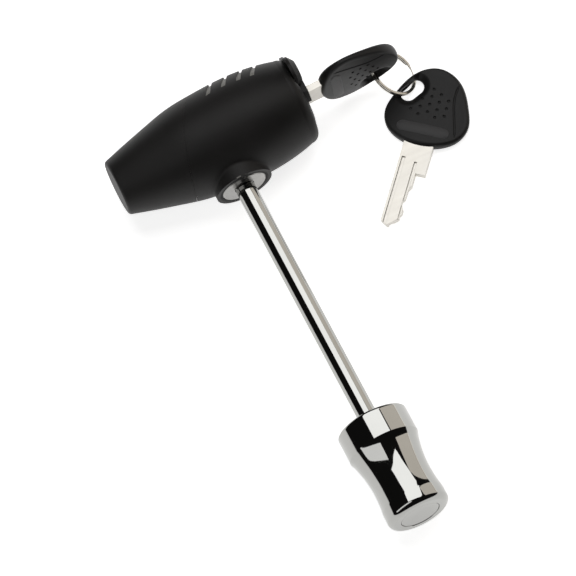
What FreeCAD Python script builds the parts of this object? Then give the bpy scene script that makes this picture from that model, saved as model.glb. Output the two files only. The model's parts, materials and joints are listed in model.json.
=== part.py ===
import FreeCAD, Part
import math
import os

# Hitch pin lock: a lock head that closes over the end of a locking pin, two keys and a key ring.
# Units are millimetres. The origin is on the pin axis, in the bright face of the lock head.
# The pin points along -Y, the lock head's own axis is parallel to X, and +Z is up.

V = FreeCAD.Vector
X_AXIS = V(1, 0, 0)
Y_AXIS = V(0, 1, 0)
Z_AXIS = V(0, 0, 1)

# Driving dimensions
PIN_DIAMETER = 6.35            # quarter-inch locking pin
PIN_RADIUS = PIN_DIAMETER / 2
SPAN = 87.4                    # usable pin length between the two bright faces
RELIEF_RADIUS = 2.6            # fine grooves in the pin where it enters both bright faces
RELIEF_OUTSIDE = 0.3
RELIEF_INSIDE = 0.5
LOCK_Y = 18.0                  # the lock head's axis, measured from its bright face
REACH = 120                    # longer than the whole object, for cutting tools
PAST = 1.0                     # how far a cutting tool runs past the face it opens

# Covers: turned outline as (x, radius), from the nose end to the key end
NOSE_X = -35.1
COVER_OUTLINE = [(-34.1, 9.15), (-25.9, 11.5), (-18.5, 13.46), (-11.1, 15.2),
                 (-2.0, 16.05), (8.0, 16.35), (16.6, 15.75), (25.4, 13.95)]
NOSE_CORNER = [(NOSE_X, 7.9), (-34.85, 8.7)]
KEY_END_CORNER = [(27.6, 13.0), (28.4, 10.9)]
KEY_END_DOME = [(29.5, 5.8), (29.9, 0.0)]
WALL = 2.6
CAVITY_START = -32.6
CAVITY_END = 25.2
CAVITY_TOP = 11.3              # flat roof of the cavity, under the grip slots
CAVITY_TOP_END = 21.3
PARTING = [(-15.3, -17.0), (-10.3, 0.0), (-1.8, 17.0)]
PARTING_GAP = 0.05

# Boss and bright face
BOSS_RADIUS = 9.3
BOSS_RIM = 0.15
BOSS_BORE = 8.2
BOSS_FILLET = 1.2
PLATE_RADIUS = 7.35
PLATE_THICKNESS = 1.8
PLATE_CHAMFER = 0.3
PLATE_BORE = PIN_RADIUS + 0.09
SEAL_THICKNESS = 2.0

# Grip slots on the side away from the pin
SLOT_STARTS = [4.28, 9.48, 14.68, 19.38]    # sharp walls, at the slot level
SLOT_LEVEL = 15.26             # height above the lock's axis
SLOT_WIDTH = 1.45
SLOT_ROUNDING = 0.7
SLOT_LEAN = 0.5                # the slots lean like the parting line: along X for each mm of Y
SLOT_FLOOR_GROW = 1.76         # the floors follow the outline, made larger and moved down
SLOT_FLOOR_SHIFT = 2.58

# Lock core
CORE_START = -12.0
CORE_GAP = 0.15
PIN_BORE = PIN_RADIUS + 0.075
PIN_BORE_END = 26.5
HEAD_BORE = PIN_RADIUS + 0.02
HOUSING_RADIUS = 8.0
HOUSING_START = 7.7
HOUSING_END = 27.5
PLUG_RADIUS = 6.0
PLUG_START = 6.1
PLUG_GROOVE = (6.9, 7.6)       # for the clip that keeps the plug in
PLUG_GROOVE_RADIUS = 5.2
CLIP_POCKET_START = 5.0
CLIP_POCKET_RADIUS = 7.7
CLIP_RADIUS = 7.2
RUNNING_GAP = 0.05
PRESS_GAP = 0.02
O_RING_SECTION = 0.95          # radius of the rubber

# Roll pin that locks the cylinder housing in the core
ROLL_PIN_RADIUS = 1.0
ROLL_PIN_BORE = 0.6
ROLL_PIN_HALF = 7.3
ROLL_PIN_END_GAP = 0.2
ROLL_PIN_X = 18.0
ROLL_PIN_Y = LOCK_Y + 7.6

# Wafers and their springs
WAFER_COUNT = 6
WAFER_PITCH = 2.3
WAFER_FIRST = 11.0
WAFER_THICKNESS = 1.1
WAFER_HALF = 3.1
WAFER_EDGE = 2.0               # side of the wafer that carries the spring's ear
WAFER_EAR = (2.3, 3.6)         # height range of the spring's ear
WAFER_WINDOW_GAP = 0.3
WAFER_GAP = 0.1
KEYWAY_GAP = 0.15
SPRING_Y = LOCK_Y + 2.58
SPRING_START = -0.35
SPRING_PITCH = 0.62
SPRING_LENGTH = 2.48
SPRING_RADIUS = 0.36
SPRING_WIRE = 0.12

# Latch and its drive
PIN_TIP = 25.5
PIN_TIP_CHAMFER = 0.8
NECK_RADIUS = 2.2
NECK_START = 16.5
NECK_END = 19.5
LATCH_THICKNESS = 2.0
LATCH_SIDES = (-5.0, 4.8)
LATCH_ENDS = (-8.3, 5.6)
LATCH_EAR_START = 3.6
LATCH_EAR_TOP = 23.4
LATCH_EAR_HALF = 3.0
LATCH_WAY_GAP = 0.15
CRANK = 2.5                    # eccentric's distance from the plug's axis
CRANK_PIN_RADIUS = 1.1
CRANK_OFFSET = CRANK * math.sin(math.radians(45))
LATCH_STROKE = 2 * CRANK_OFFSET
CRANK_SLOT_GAP = 0.2
LATCH_BORE = PIN_RADIUS + 0.275
LATCH_NECK_HALF = NECK_RADIUS + 0.1
CRANK_SLOT = (18.3, 22.0)
CAM_START = 5.1
CAM_RADIUS = 4.6
CRANK_PIN_START = 3.65

# Dust cover
COVER_SEAT = 27.6
COVER_START = 27.9
COVER_EDGE = 28.9              # the flap's bevel starts here
COVER_END = 30.5
COVER_PIVOT_Y = 10.1           # from the lock's axis
COVER_PIVOT_RADIUS = 1.25
COVER_PIVOT_BORE = 1.33
COVER_PIVOT_START = 21.6
COVER_PIVOT_HEAD = (30.6, 31.4)
COVER_PIVOT_HEAD_RADIUS = 2.5
COVER_HUB = 4.6
COVER_LOBE = 5.3
COVER_BEVEL = 2.0
COVER_ARM = 10.0
COVER_SWUNG = 62.0             # degrees from closed
COVER_RELIEF = 4.95            # the shoulder of the turning key passes the flap's flank
COVER_TAB = (30.3, -4.6, 2.2, 5.6, 9.4)
COVER_TAB_GAP = 0.4            # between the tab and the seat's wall
COVER_WASHER = (27.62, 27.85)
COVER_WASHER_RADIUS = 2.9

# Pin head, turned: waist as (distance from the lock's face, radius)
PIN_SOCKET = 112.0
HEAD_END = 121.2
HEAD_FACE_RIM = 1.0
HEAD_END_RIM = 2.0
HEAD_PLUG_RADIUS = 6.5
HEAD_PLUG_DEPTH = 2.0
HEAD_PLUG_SUNK = 0.1
HEAD_PLUG_CHAMFER = 0.25
HEAD_WAIST = [(96.4, 11.63), (98.2, 10.97), (99.6, 10.64), (102.2, 10.12), (104.8, 9.79),
              (108.0, 9.6), (111.3, 9.72), (114.0, 9.97), (116.2, 10.3)]
ROUND = 1 - math.sqrt(0.5)     # how far the middle of a quarter-round lies inside its corner

# Keys, in their own frame: u towards the tip, v towards the cut edge, w through the thickness
BLADE_HALF = 1.1
SHOULDER_HALF = 4.7
SHOULDER_LENGTH = 10.0
TANG_LENGTH = 7.0
TANG_HALF = 3.4
TANG_STEP = 0.2                # the shoulder starts this far inside the bow
CUT_SIDE = 1.7                 # height of the blade's cut edge
BLADE_OUTLINE = [(-TANG_LENGTH, -TANG_HALF), (-TANG_STEP, -TANG_HALF), (-TANG_STEP, -SHOULDER_HALF),
                 (27.2, -SHOULDER_HALF), (28.5, -2.3), (25.5, 0.8), (24.6, 0.6), (23.6, 1.2), (22.4, 1.2),
                 (20.6, 0.2), (19.6, 0.2), (18.6, 0.9), (15.6, 0.9), (14.2, CUT_SIDE),
                 (SHOULDER_LENGTH, CUT_SIDE), (SHOULDER_LENGTH, SHOULDER_HALF), (-TANG_STEP, SHOULDER_HALF),
                 (-TANG_STEP, TANG_HALF), (-TANG_LENGTH, TANG_HALF)]
GROOVE_DEPTH = 0.6
GROOVES = [(5.2, -3.9, -2.8), (6.2, 0.3, 1.1)]
BACK_GROOVE = (5.2, -1.9, -0.8)
BOW_GAP = 0.05
BOW_OUTLINE = [(-25.7, 0.0), (-22.6, 7.2), (-14.6, 11.9), (-8.7, 13.35), (-3.6, 11.4), (-0.3, 6.4)]
BOW_END = 0.75
BOW_HALF = 2.2
BOW_CROWN = 65.0
HOLE_CENTRE = (-17.0, -6.9)
HOLE_LENGTH = 8.0
HOLE_WIDTH = 5.0
HOLE_TURN = 145.0
HOLE_FLARE = 2.0
HOLE_WEB = 0.3
HOLE_OVERRUN = 0.1             # the flare is drawn to this far past the face
KEY_1_BASE = V(35.3, LOCK_Y, 0)
KEY_2_BASE = V(54.9, -8.0, -12.75)
KEY_2_TURN = 228.2             # direction of key 2's blade, degrees from +X
REST_SLOPE = 2.37              # degrees; the object lies on its belly and the pin's head

# Key ring
RING_RADIUS = 7.6
RING_BAND = 1.0
RING_THICKNESS = 1.2
RING_CORNER = 0.2
RING_GROOVE = 0.25             # between the ring's two turns
RING_GROOVE_HALF = 0.15
RING_NORMAL = V(0.637, -0.039, 0.77)
RING_IN_HOLE_1 = (0.0, 0.4)    # where the ring passes each hole: along it and across it
RING_IN_HOLE_2 = (-1.5, 0.4)


def box(x0, x1, y0, y1, z0, z1):
    return Part.makeBox(x1 - x0, y1 - y0, z1 - z0, V(x0, y0, z0))


def rod_x(x0, x1, radius, y=LOCK_Y, z=0.0):
    return Part.makeCylinder(radius, x1 - x0, V(x0, y, z), X_AXIS)


def rod_y(y0, y1, radius, x=0.0, z=0.0):
    return Part.makeCylinder(radius, y1 - y0, V(x, y0, z), Y_AXIS)


def rod_z(z0, z1, radius, x=0.0, y=0.0):
    return Part.makeCylinder(radius, z1 - z0, V(x, y, z0), Z_AXIS)


def spline(points):
    curve = Part.BSplineCurve()
    curve.interpolate(points)
    return curve.toShape()


def arc(a, b, c):
    return Part.Arc(a, b, c).toShape()


def line(a, b):
    return Part.makeLine(a, b)


def fuse(shapes):
    return shapes[0].fuse(shapes[1:]).removeSplitter()


def cut(shape, tools):
    return shape.cut(tools)


def ring_edges(shape, radius, axis):
    """Circular edges of one radius about lines parallel to an axis."""
    found = []
    for edge in shape.Edges:
        curve = edge.Curve
        if isinstance(curve, Part.Circle) and abs(curve.Radius - radius) < 0.01:
            if abs(abs(curve.Axis.dot(axis)) - 1) < 0.001:
                found.append(edge)
    return found


# Covers

def on_outline(x, radius):
    return V(x, LOCK_Y + radius, 0)


def cover_envelope():
    """Outside of both covers as one turned solid."""
    side = [on_outline(x, r) for x, r in COVER_OUTLINE]
    nose = [on_outline(x, r) for x, r in NOSE_CORNER]
    corner = [on_outline(x, r) for x, r in KEY_END_CORNER]
    dome = [on_outline(x, r) for x, r in KEY_END_DOME]
    nose_centre = on_outline(NOSE_X, 0)
    edges = [line(nose_centre, nose[0]), arc(nose[0], nose[1], side[0]), spline(side),
             arc(side[-1], corner[0], corner[1]), arc(corner[1], dome[0], dome[1]),
             line(dome[1], nose_centre)]
    return Part.Face(Part.Wire(edges)).revolve(on_outline(0, 0), X_AXIS, 360)


def cavity(inset, x0, x1, roof):
    """The covers' inside, or a body that fills it, with a flat roof under the grip slots."""
    side = [on_outline(x, r - inset) for x, r in COVER_OUTLINE]
    ends = [on_outline(side[0].x, 0), on_outline(side[-1].x, 0)]
    edges = [line(ends[0], side[0]), spline(side), line(side[-1], ends[1]), line(ends[1], ends[0])]
    body = Part.Face(Part.Wire(edges)).revolve(on_outline(0, 0), X_AXIS, 360)
    body = body.common(rod_x(x0, x1, REACH))
    above_roof = box(-REACH, CAVITY_TOP_END, LOCK_Y + roof, REACH, -REACH, REACH)
    return cut(body, [above_roof])


def nose_side(shift):
    """Everything on the nose side of the curved parting line, moved along X by shift."""
    a, b, c = [V(x + shift, LOCK_Y + y, -REACH / 2) for x, y in PARTING]
    far = -REACH
    corners = [V(far, c.y, c.z), V(far, a.y, a.z)]
    wire = Part.Wire([arc(a, b, c), line(c, corners[0]), line(corners[0], corners[1]), line(corners[1], a)])
    return Part.Face(wire).extrude(V(0, 0, REACH))


def nose_cover():
    hollow = cavity(WALL, CAVITY_START, CAVITY_END, CAVITY_TOP)
    return cut(cover_envelope(), [hollow]).common(nose_side(-PARTING_GAP / 2))


def slot_floor():
    """Solid under the grip slots: the outline made larger about a lower axis, so the slots fade out."""
    axis_y = LOCK_Y - SLOT_FLOOR_SHIFT
    side = [V(x, axis_y + r + SLOT_FLOOR_GROW, 0) for x, r in COVER_OUTLINE]
    ends = [V(side[0].x, axis_y, 0), V(side[-1].x, axis_y, 0)]
    edges = [line(ends[0], side[0]), spline(side), line(side[-1], ends[1]), line(ends[1], ends[0])]
    return Part.Face(Part.Wire(edges)).revolve(V(0, axis_y, 0), X_AXIS, 360)


def grip_slot(start):
    """Slab through the cover with leaning walls, one of them rounded at the top."""
    def leaning(across, height):
        return V(start + across + SLOT_LEAN * height, LOCK_Y + SLOT_LEVEL + height, -REACH / 2)

    outer = SLOT_WIDTH + SLOT_ROUNDING
    middle = leaning(SLOT_WIDTH + SLOT_ROUNDING * ROUND, -SLOT_ROUNDING * ROUND)
    bottom = [leaning(0, -SLOT_LEVEL), leaning(SLOT_WIDTH, -SLOT_LEVEL), leaning(SLOT_WIDTH, -SLOT_ROUNDING)]
    top = [leaning(outer, 0), leaning(outer, SLOT_LEVEL), leaning(0, SLOT_LEVEL)]
    edges = [line(bottom[0], bottom[1]), line(bottom[1], bottom[2]), arc(bottom[2], middle, top[0]),
             line(top[0], top[1]), line(top[1], top[2]), line(top[2], bottom[0])]
    return Part.Face(Part.Wire(edges)).extrude(V(0, 0, REACH))


def grip_slots():
    """The four slots, with curved floors."""
    floor = slot_floor()
    return [cut(grip_slot(start), [floor]) for start in SLOT_STARTS]


def seat_radius():
    return COVER_ARM + COVER_LOBE + COVER_BEVEL / 3


def cover_seat():
    """Flat recess in the key end that the dust cover turns in."""
    return rod_x(COVER_SEAT, COVER_END + PAST, seat_radius(), LOCK_Y + COVER_PIVOT_Y)


def main_shell():
    boss = rod_y(BOSS_RIM, LOCK_Y, BOSS_RADIUS)
    body = cut(fuse([cover_envelope(), boss]), [nose_side(PARTING_GAP / 2)])
    root = [edge for edge in body.Edges if is_boss_root(edge)]
    body = body.makeFillet(BOSS_FILLET, root)
    tools = [cavity(WALL, CAVITY_START, CAVITY_END, CAVITY_TOP),
             rod_y(BOSS_RIM - PAST, LOCK_Y, BOSS_BORE),
             rod_x(CAVITY_END - PAST, COVER_END, HOUSING_RADIUS + RUNNING_GAP),
             cover_pivot_hole(CAVITY_END - PAST, RUNNING_GAP),
             cover_seat()]
    return cut(body, tools + grip_slots())


def is_boss_root(edge):
    """True for the edges where the boss meets the turned body."""
    away = [math.hypot(v.Point.x, v.Point.z) for v in edge.Vertexes]
    on_boss = all(abs(distance - BOSS_RADIUS) < 0.02 for distance in away)
    bounds = edge.BoundBox
    off_the_rim = bounds.YMin > BOSS_RIM + 0.1
    runs_round = bounds.YLength > 0.2 and bounds.XLength > 0.5
    return on_boss and off_the_rim and runs_round


# Bright face

def face_plate():
    plate = rod_y(0, PLATE_THICKNESS, PLATE_RADIUS)
    rim = [e for e in ring_edges(plate, PLATE_RADIUS, Y_AXIS) if e.BoundBox.YMin < PLATE_THICKNESS / 2]
    plate = plate.makeChamfer(PLATE_CHAMFER, rim)
    return cut(plate, [rod_y(-PAST, PLATE_THICKNESS + PAST, PLATE_BORE)])


def face_seal():
    outer = rod_y(BOSS_RIM, BOSS_RIM + SEAL_THICKNESS, BOSS_BORE - RUNNING_GAP)
    return cut(outer, [rod_y(-PAST, LOCK_Y, PLATE_RADIUS + RUNNING_GAP)])


def pin_o_ring():
    centre = V(0, PLATE_THICKNESS + O_RING_SECTION + CORE_GAP, 0)
    return Part.makeTorus(PIN_BORE + O_RING_SECTION, O_RING_SECTION, centre, Y_AXIS)


# Lock core and cylinder

def cover_pivot_hole(start, gap):
    return rod_x(start, REACH, COVER_PIVOT_RADIUS + gap, LOCK_Y + COVER_PIVOT_Y)


def lock_core():
    body = cavity(WALL + CORE_GAP, CORE_START, CAVITY_END - 0.1, CAVITY_TOP - CORE_GAP)
    spigot = rod_y(PLATE_THICKNESS + RUNNING_GAP, LOCK_Y, PLATE_RADIUS)
    body = fuse([body, spigot])
    o_ring_end = PLATE_THICKNESS + 2 * (O_RING_SECTION + CORE_GAP) + RUNNING_GAP
    o_ring_groove = rod_y(PLATE_THICKNESS, o_ring_end, PIN_BORE + 2 * O_RING_SECTION + CORE_GAP)
    tools = [rod_y(-PAST, PIN_BORE_END, PIN_BORE), o_ring_groove,
             rod_x(HOUSING_START, REACH, HOUSING_RADIUS + RUNNING_GAP),
             rod_x(CLIP_POCKET_START, HOUSING_START + PAST, CLIP_POCKET_RADIUS),
             cover_pivot_hole(COVER_PIVOT_START - CORE_GAP, PRESS_GAP),
             roll_pin_hole(REACH)]
    return cut(body, tools + latch_pocket())


def roll_pin_hole(end):
    start = -ROLL_PIN_HALF - ROLL_PIN_END_GAP
    return rod_z(start, end, ROLL_PIN_RADIUS + PRESS_GAP, ROLL_PIN_X, ROLL_PIN_Y)


def latch_pocket():
    """Way for the latch, open on the underside so that the latch can be put in."""
    gap = LATCH_WAY_GAP
    half = LATCH_THICKNESS / 2 + gap
    plate_top = LATCH_ENDS[1] + LATCH_STROKE + 2 * gap
    ear_top = LATCH_EAR_HALF - CRANK_OFFSET + LATCH_STROKE + 2 * gap
    x0, x1 = LATCH_SIDES
    plate_way = box(x0 - gap, x1 + gap, LOCK_Y - half, LOCK_Y + half, -REACH, plate_top)
    ear_start = LATCH_EAR_START - gap
    ear_way = box(ear_start, CLIP_POCKET_START, LOCK_Y - half, LATCH_EAR_TOP + gap, -REACH, ear_top)
    return [plate_way, ear_way]


def cylinder_housing():
    sleeve = rod_x(HOUSING_START, HOUSING_END, HOUSING_RADIUS)
    bore = rod_x(0, REACH, PLUG_RADIUS + RUNNING_GAP)
    return cut(sleeve, [bore, roll_pin_hole(ROLL_PIN_HALF + ROLL_PIN_END_GAP)])


def cylinder_roll_pin():
    pin = rod_z(-ROLL_PIN_HALF, ROLL_PIN_HALF, ROLL_PIN_RADIUS, ROLL_PIN_X, ROLL_PIN_Y)
    return cut(pin, [rod_z(-REACH, REACH, ROLL_PIN_BORE, ROLL_PIN_X, ROLL_PIN_Y)])


def wafer_places():
    return [WAFER_FIRST + WAFER_PITCH * i for i in range(WAFER_COUNT)]


def keyway():
    half = BLADE_HALF + KEYWAY_GAP
    spine = SHOULDER_HALF + KEYWAY_GAP
    mouth_start = KEY_1_BASE.x - SHOULDER_LENGTH - KEYWAY_GAP
    narrow = box(0, REACH, LOCK_Y - half, LOCK_Y + half, -spine, CUT_SIDE + KEYWAY_GAP)
    mouth = box(mouth_start, REACH, LOCK_Y - half, LOCK_Y + half, -spine, spine)
    return [narrow, mouth]


def plug():
    body = rod_x(PLUG_START, HOUSING_END, PLUG_RADIUS)
    groove = cut(rod_x(*PLUG_GROOVE, PLUG_RADIUS + PAST), [rod_x(0, REACH, PLUG_GROOVE_RADIUS)])
    half = WAFER_HALF + WAFER_GAP
    slot = WAFER_THICKNESS / 2 + WAFER_GAP
    slots = [box(x - slot, x + slot, LOCK_Y - half, LOCK_Y + half, -REACH, REACH) for x in wafer_places()]
    return cut(body, keyway() + slots + [groove])


def wafer(x):
    """Flat slider with a window for the key and an ear that its spring lifts."""
    x0 = x - WAFER_THICKNESS / 2
    x1 = x + WAFER_THICKNESS / 2
    body = box(x0, x1, LOCK_Y - WAFER_HALF, LOCK_Y + WAFER_EDGE, -PLUG_RADIUS, PLUG_RADIUS)
    body = body.common(rod_x(x0, x1, PLUG_RADIUS - WAFER_GAP))
    ear = box(x0, x1, LOCK_Y + WAFER_EDGE, LOCK_Y + WAFER_HALF, *WAFER_EAR)
    gap = WAFER_WINDOW_GAP
    half = BLADE_HALF + gap
    window = box(x0 - PAST, x1 + PAST, LOCK_Y - half, LOCK_Y + half, -SHOULDER_HALF - gap, CUT_SIDE + gap)
    return cut(fuse([body, ear]), [window])


def wafers():
    return Part.makeCompound([wafer(x) for x in wafer_places()])


def wafer_spring(x):
    helix = Part.makeHelix(SPRING_PITCH, SPRING_LENGTH, SPRING_RADIUS)
    section = Part.Wire(Part.makeCircle(SPRING_WIRE, V(SPRING_RADIUS, 0, 0), Y_AXIS))
    spring = Part.Wire(helix).makePipeShell([section], True, True)
    spring.translate(V(x, SPRING_Y, SPRING_START))
    return spring


def wafer_springs():
    return Part.makeCompound([wafer_spring(x) for x in wafer_places()])


def plug_clip():
    x0, x1 = PLUG_GROOVE
    ring = rod_x(x0 + RUNNING_GAP, x1 - RUNNING_GAP, CLIP_RADIUS)
    ring = cut(ring, [rod_x(0, REACH, PLUG_GROOVE_RADIUS + RUNNING_GAP)])
    half = PLUG_GROOVE_RADIUS / 2
    opening = box(0, REACH, LOCK_Y - REACH, LOCK_Y, -half, half)
    return cut(ring, [opening])


def drive_cam():
    disc = rod_x(CAM_START, PLUG_START, CAM_RADIUS)
    crank_pin = rod_x(CRANK_PIN_START, PLUG_START, CRANK_PIN_RADIUS, LOCK_Y + CRANK_OFFSET, -CRANK_OFFSET)
    return fuse([disc, crank_pin])


def latch_plate():
    """Sliding plate with a keyhole slot for the pin's neck and an ear for the crank pin."""
    x0, x1 = LATCH_SIDES
    y0 = LOCK_Y - LATCH_THICKNESS / 2
    y1 = LOCK_Y + LATCH_THICKNESS / 2
    plate = box(x0, x1, y0, y1, *LATCH_ENDS)
    z0 = -CRANK_OFFSET - LATCH_EAR_HALF
    z1 = -CRANK_OFFSET + LATCH_EAR_HALF
    ear = box(LATCH_EAR_START, x1, y0, LATCH_EAR_TOP, z0, z1)
    pin_way = rod_y(y0 - PAST, y1 + PAST, LATCH_BORE)
    neck_way = box(-LATCH_NECK_HALF, LATCH_NECK_HALF, y0 - PAST, y1 + PAST, -LATCH_STROKE, 0)
    neck_end = rod_y(y0 - PAST, y1 + PAST, LATCH_NECK_HALF, 0, -LATCH_STROKE)
    half = CRANK_PIN_RADIUS + CRANK_SLOT_GAP
    crank_slot = box(LATCH_EAR_START - PAST, REACH, *CRANK_SLOT, -CRANK_OFFSET - half, -CRANK_OFFSET + half)
    return cut(fuse([plate, ear]), [pin_way, neck_way, neck_end, crank_slot])


# Dust cover

def flap_disc(radius, y):
    """Round part of the flap: a straight edge under a wide bevel."""
    edge = rod_x(COVER_START, COVER_EDGE, radius, y)
    bevel = Part.makeCone(radius, radius - COVER_BEVEL, COVER_END - COVER_EDGE, V(COVER_EDGE, y, 0), X_AXIS)
    return fuse([edge, bevel])


def dust_cover():
    """Bevelled teardrop flap, swung aside from the keyway, with a finger tab on its lower flank."""
    pivot_y = LOCK_Y + COVER_PIVOT_Y
    top = COVER_HUB - COVER_BEVEL
    section = [(COVER_START, -COVER_HUB), (COVER_EDGE, -COVER_HUB), (COVER_END, -top),
               (COVER_END, top), (COVER_EDGE, COVER_HUB), (COVER_START, COVER_HUB)]
    points = [V(x, pivot_y - COVER_ARM, z) for x, z in section]
    arm = Part.Face(Part.makePolygon(points + points[:1])).extrude(V(0, COVER_ARM, 0))
    flap = fuse([flap_disc(COVER_HUB, pivot_y), flap_disc(COVER_LOBE, pivot_y - COVER_ARM), arm])
    flap.rotate(V(0, pivot_y, 0), X_AXIS, -COVER_SWUNG)
    x1, y0, y1, z0, z1 = COVER_TAB
    tab = box(COVER_START, x1, LOCK_Y + y0, LOCK_Y + y1, z0, z1)
    tab = tab.common(rod_x(0, REACH, seat_radius() - COVER_TAB_GAP, pivot_y))
    relief = rod_x(0, REACH, COVER_RELIEF)
    return cut(fuse([flap, tab]), [relief, rod_x(0, REACH, COVER_PIVOT_BORE, pivot_y)])


def cover_pivot():
    y = LOCK_Y + COVER_PIVOT_Y
    x0, x1 = COVER_PIVOT_HEAD
    shank = rod_x(COVER_PIVOT_START, (x0 + x1) / 2, COVER_PIVOT_RADIUS, y)
    head = rod_x(x0, x1, COVER_PIVOT_HEAD_RADIUS, y)
    rim = [e for e in ring_edges(head, COVER_PIVOT_HEAD_RADIUS, X_AXIS) if e.BoundBox.XMin > (x0 + x1) / 2]
    return fuse([shank, head.makeFillet((x1 - x0) * 0.75, rim)])


def cover_washer():
    washer = rod_x(*COVER_WASHER, COVER_WASHER_RADIUS, LOCK_Y + COVER_PIVOT_Y)
    return cut(washer, [rod_x(0, REACH, COVER_PIVOT_BORE, LOCK_Y + COVER_PIVOT_Y)])


# Pin

def pin_groove(y0, y1, radius):
    return cut(rod_y(y0, y1, PIN_RADIUS + PAST), [rod_y(y0 - PAST, y1 + PAST, radius)])


def pin_shank():
    """Plain pin with the latch's neck near its tip and a relief groove at each bright face."""
    shank = rod_y(-PIN_SOCKET, PIN_TIP, PIN_RADIUS)
    tip = [e for e in ring_edges(shank, PIN_RADIUS, Y_AXIS) if e.BoundBox.YMax > 0]
    shank = shank.makeChamfer(PIN_TIP_CHAMFER, tip)
    neck = pin_groove(NECK_START, NECK_END, NECK_RADIUS)
    lock_relief = pin_groove(-RELIEF_OUTSIDE, RELIEF_INSIDE, RELIEF_RADIUS)
    head_relief = pin_groove(-SPAN - RELIEF_INSIDE, -SPAN + RELIEF_OUTSIDE, RELIEF_RADIUS)
    return cut(shank, [neck, lock_relief, head_relief])


def on_pin(distance, radius):
    return V(radius, -distance, 0)


def pin_head():
    """Turned bright head: straight collar, hollow waist and a short rounded end."""
    waist = [on_pin(s, r) for s, r in HEAD_WAIST]
    collar = HEAD_WAIST[0][1]
    rim = on_pin(SPAN + HEAD_FACE_RIM, collar)
    face = on_pin(SPAN, collar - HEAD_FACE_RIM)
    rim_middle = on_pin(SPAN + HEAD_FACE_RIM * ROUND, collar - HEAD_FACE_RIM * ROUND)
    end = HEAD_WAIST[-1][1]
    end_side = on_pin(HEAD_END - HEAD_END_RIM, end)
    end_face = on_pin(HEAD_END, end - HEAD_END_RIM)
    end_middle = on_pin(HEAD_END - HEAD_END_RIM * ROUND, end - HEAD_END_RIM * ROUND)
    centre = [on_pin(HEAD_END, 0), on_pin(SPAN, 0)]
    edges = [line(centre[1], face), arc(face, rim_middle, rim), line(rim, waist[0]), spline(waist),
             line(waist[-1], end_side), arc(end_side, end_middle, end_face), line(end_face, centre[0]),
             line(centre[0], centre[1])]
    head = Part.Face(Part.Wire(edges)).revolve(V(0, 0, 0), Y_AXIS, 360)
    socket = rod_y(-PIN_SOCKET, 0, HEAD_BORE)
    return cut(head, [socket, rod_y(-2 * REACH, HEAD_PLUG_DEPTH - HEAD_END, HEAD_PLUG_RADIUS)])


def head_end_plug():
    """Disc pressed into the head's end, which leaves a fine turned line round it."""
    radius = HEAD_PLUG_RADIUS - RUNNING_GAP
    disc = rod_y(HEAD_PLUG_SUNK - HEAD_END, HEAD_PLUG_DEPTH - RUNNING_GAP - HEAD_END, radius)
    rim = [e for e in ring_edges(disc, radius, Y_AXIS) if e.BoundBox.YMin < HEAD_PLUG_DEPTH / 2 - HEAD_END]
    return disc.makeChamfer(HEAD_PLUG_CHAMFER, rim)


# Keys

def key_frame(base, blade_direction, edge_direction):
    """Placement from a key's own u, v, w to the object's frame."""
    thickness = blade_direction.cross(edge_direction)
    rotation = FreeCAD.Rotation(blade_direction, edge_direction, thickness, "XYZ")
    return FreeCAD.Placement(base, rotation)


def key_1_frame():
    return key_frame(KEY_1_BASE, V(-1, 0, 0), V(0, 0, 1))


def key_2_frame():
    slope = FreeCAD.Rotation(X_AXIS, -REST_SLOPE)
    turn = math.radians(KEY_2_TURN)
    blade = slope.multVec(V(math.cos(turn), math.sin(turn), 0))
    edge = slope.multVec(V(-math.sin(turn), math.cos(turn), 0))
    return key_frame(KEY_2_BASE, blade, edge)


def key_blade():
    """Shoulder, spine, pointed tip and the cut edge with its shallow notches."""
    points = [V(u, v, -BLADE_HALF) for u, v in BLADE_OUTLINE]
    blade = Part.Face(Part.makePolygon(points + points[:1])).extrude(V(0, 0, 2 * BLADE_HALF))
    floor = BLADE_HALF - GROOVE_DEPTH
    tools = [box(u, REACH, v0, v1, floor, REACH) for u, v0, v1 in GROOVES]
    u, v0, v1 = BACK_GROOVE
    tools.append(box(u, REACH, v0, v1, -REACH, -floor))
    return cut(blade, tools)


def bow_blank():
    """Egg-shaped bow with gently crowned faces."""
    base = -BOW_HALF - PAST
    side = [V(u, v, base) for u, v in BOW_OUTLINE]
    other = [V(u, -v, base) for u, v in reversed(BOW_OUTLINE[1:])]
    curve = Part.BSplineCurve()
    curve.interpolate(side + [V(BOW_END, 0, base)] + other, PeriodicFlag=True)
    blank = Part.Face(Part.Wire(curve.toShape())).extrude(V(0, 0, -2 * base))
    for sign in (1, -1):
        crown = Part.makeCylinder(BOW_CROWN, REACH, V(-REACH / 2, 0, sign * (BOW_HALF - BOW_CROWN)), X_AXIS)
        blank = blank.common(crown)
    return blank


def stadium(length, width, height):
    """Closed wire with two straight sides and two round ends, in a plane of constant w."""
    half = (length - width) / 2
    r = width / 2
    a, b, c, d = V(-half, -r, height), V(half, -r, height), V(half, r, height), V(-half, r, height)
    right = V(half + r, 0, height)
    left = V(-half - r, 0, height)
    return Part.Wire([line(a, b), arc(b, right, c), line(c, d), arc(d, left, a)])


def ring_hole():
    """Long hole with a flared mouth on both faces, as three cutting bodies."""
    through = Part.Face(stadium(HOLE_LENGTH, HOLE_WIDTH, -BOW_HALF)).extrude(V(0, 0, 2 * BOW_HALF))
    grow = 2 * HOLE_FLARE
    tools = [through]
    for sign in (1, -1):
        inner = stadium(HOLE_LENGTH, HOLE_WIDTH, sign * HOLE_WEB)
        outer = stadium(HOLE_LENGTH + grow, HOLE_WIDTH + grow, sign * (BOW_HALF + HOLE_OVERRUN))
        tools.append(Part.makeLoft([inner, outer], True))
    for tool in tools:
        tool.rotate(V(0, 0, 0), Z_AXIS, HOLE_TURN)
        tool.translate(V(HOLE_CENTRE[0], HOLE_CENTRE[1], 0))
    return tools


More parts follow.
